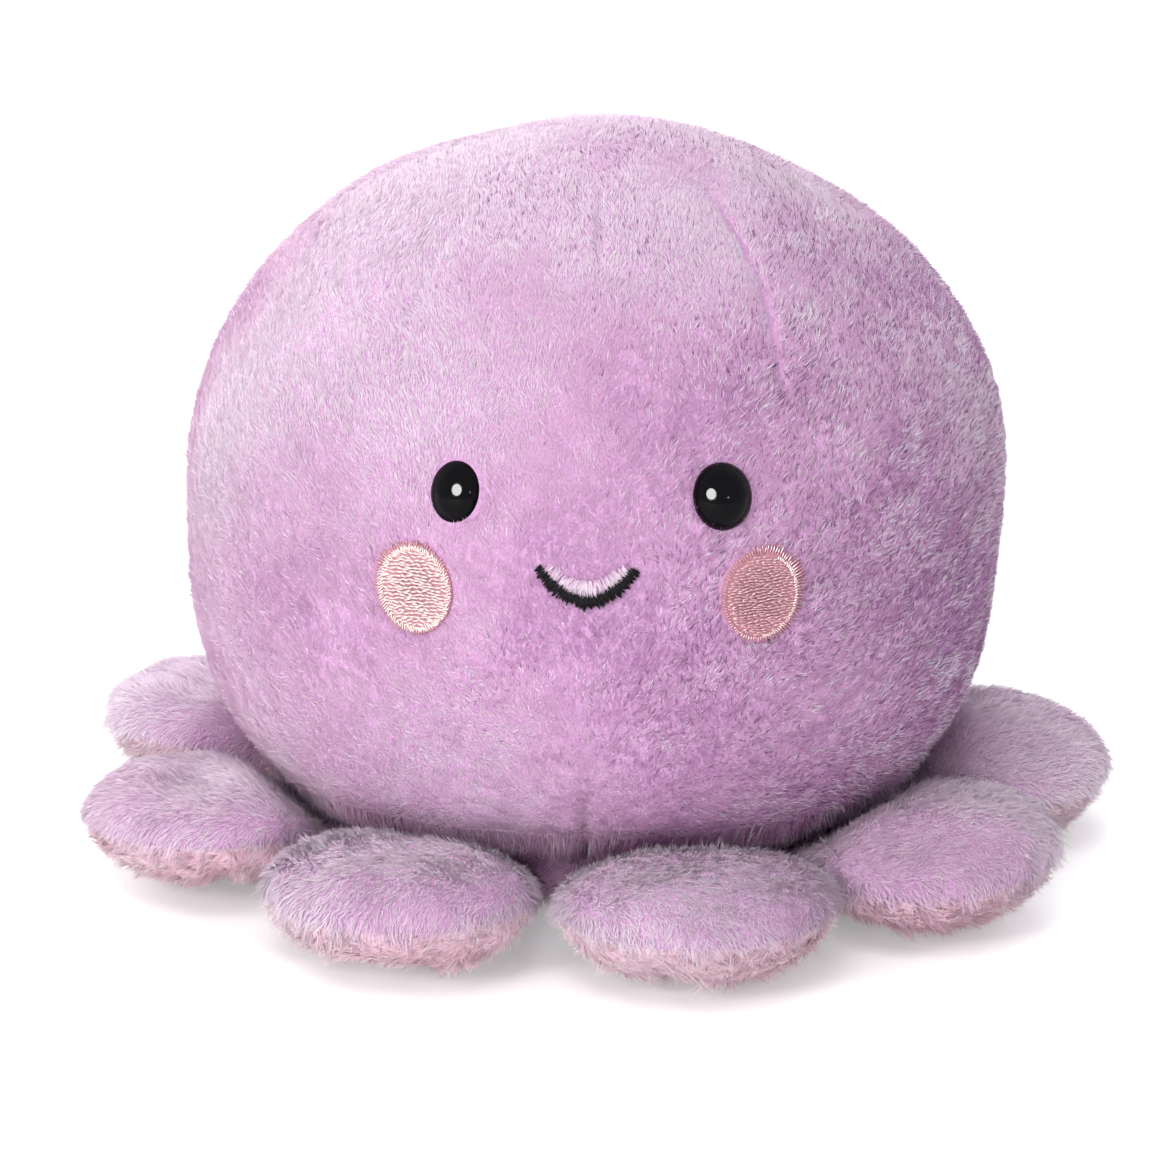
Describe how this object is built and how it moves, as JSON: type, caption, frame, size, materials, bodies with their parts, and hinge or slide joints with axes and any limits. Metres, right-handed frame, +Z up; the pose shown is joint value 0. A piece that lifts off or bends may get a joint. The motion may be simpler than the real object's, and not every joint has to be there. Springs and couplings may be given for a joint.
{
  "type": "plush octopus",
  "caption": "Palm-sized plush octopus toy: a round stuffed head on a flat base, with glossy eyes, embroidered cheeks and smile, and padded legs that flex at their sewn roots.",
  "frame": {"origin": "middle of the flat base that the toy rests on", "axes": "+Z up through the crown, the face looks along -Y, and the toy's own left is +X"},
  "size_m": [0.1394, 0.1383, 0.099],
  "materials": {
    "lilac_plush": "short, dense, silky pile",
    "pink_plush": "short crushed pile",
    "fibre_fill": "lofty polyester fibre",
    "pouch_cloth": "plain woven cotton",
    "bean_plastic": "loose pellets",
    "eye_plastic": "polished",
    "washer_plastic": "moulded",
    "cheek_thread": "satin embroidery",
    "mouth_thread": "satin embroidery"
  },
  "bodies": {
    "head": {"head_front_panel": "lilac_plush", "head_back_panel": "lilac_plush", "base_panel": "lilac_plush", "head_stuffing": "fibre_fill", "bean_pouch_top": "pouch_cloth", "bean_pouch_bottom": "pouch_cloth", "bean_fill": "bean_plastic", "eye_left": "eye_plastic", "eye_right": "eye_plastic", "eye_washer_left": "washer_plastic", "eye_washer_right": "washer_plastic", "cheek_fill_left": "cheek_thread", "cheek_fill_right": "cheek_thread", "cheek_border_left": "cheek_thread", "cheek_border_right": "cheek_thread", "mouth_stitching": "mouth_thread"},
    "leg_1": {"leg_1_top": "lilac_plush", "leg_1_underside": "pink_plush", "leg_1_stuffing": "fibre_fill"},
    "leg_2": {"leg_2_top": "lilac_plush", "leg_2_underside": "pink_plush", "leg_2_stuffing": "fibre_fill"},
    "leg_3": {"leg_3_top": "lilac_plush", "leg_3_underside": "pink_plush", "leg_3_stuffing": "fibre_fill"},
    "leg_4": {"leg_4_top": "lilac_plush", "leg_4_underside": "pink_plush", "leg_4_stuffing": "fibre_fill"},
    "leg_5": {"leg_5_top": "lilac_plush", "leg_5_underside": "pink_plush", "leg_5_stuffing": "fibre_fill"},
    "leg_6": {"leg_6_top": "lilac_plush", "leg_6_underside": "pink_plush", "leg_6_stuffing": "fibre_fill"},
    "leg_7": {"leg_7_top": "lilac_plush", "leg_7_underside": "pink_plush", "leg_7_stuffing": "fibre_fill"},
    "leg_8": {"leg_8_top": "lilac_plush", "leg_8_underside": "pink_plush", "leg_8_stuffing": "fibre_fill"}
  },
  "joints": [
    {"name": "leg_1_flex", "type": "hinge", "parent": "head", "child": "leg_1", "pos_m": [0.01053, -0.0393, 0.0062], "axis": [-0.9659, -0.2588, 0], "range_deg": [-30, 14], "stiffness_Nm_per_rad": 0.005},
    {"name": "leg_2_flex", "type": "hinge", "parent": "head", "child": "leg_2", "pos_m": [0.03333, -0.02334, 0.0062], "axis": [-0.5736, -0.8192, 0], "range_deg": [-30, 14], "stiffness_Nm_per_rad": 0.005},
    {"name": "leg_3_flex", "type": "hinge", "parent": "head", "child": "leg_3", "pos_m": [0.0405, 0.0039, 0.0062], "axis": [0.0958, -0.9954, 0], "range_deg": [-30, 14], "stiffness_Nm_per_rad": 0.005},
    {"name": "leg_4_flex", "type": "hinge", "parent": "head", "child": "leg_4", "pos_m": [0.02275, 0.03373, 0.0062], "axis": [0.829, -0.5592, 0], "range_deg": [-30, 14], "stiffness_Nm_per_rad": 0.005},
    {"name": "leg_5_flex", "type": "hinge", "parent": "head", "child": "leg_5", "pos_m": [-0.01257, 0.0387, 0.0062], "axis": [0.9511, 0.309, 0], "range_deg": [-30, 14], "stiffness_Nm_per_rad": 0.005},
    {"name": "leg_6_flex", "type": "hinge", "parent": "head", "child": "leg_6", "pos_m": [-0.03824, 0.01392, 0.0062], "axis": [0.342, 0.9397, 0], "range_deg": [-30, 14], "stiffness_Nm_per_rad": 0.005},
    {"name": "leg_7_flex", "type": "hinge", "parent": "head", "child": "leg_7", "pos_m": [-0.03717, -0.01655, 0.0062], "axis": [-0.4067, 0.9135, 0], "range_deg": [-30, 14], "stiffness_Nm_per_rad": 0.005},
    {"name": "leg_8_flex", "type": "hinge", "parent": "head", "child": "leg_8", "pos_m": [-0.0172, -0.03688, 0.0062], "axis": [-0.9063, 0.4226, 0], "range_deg": [-30, 14], "stiffness_Nm_per_rad": 0.005}
  ]
}
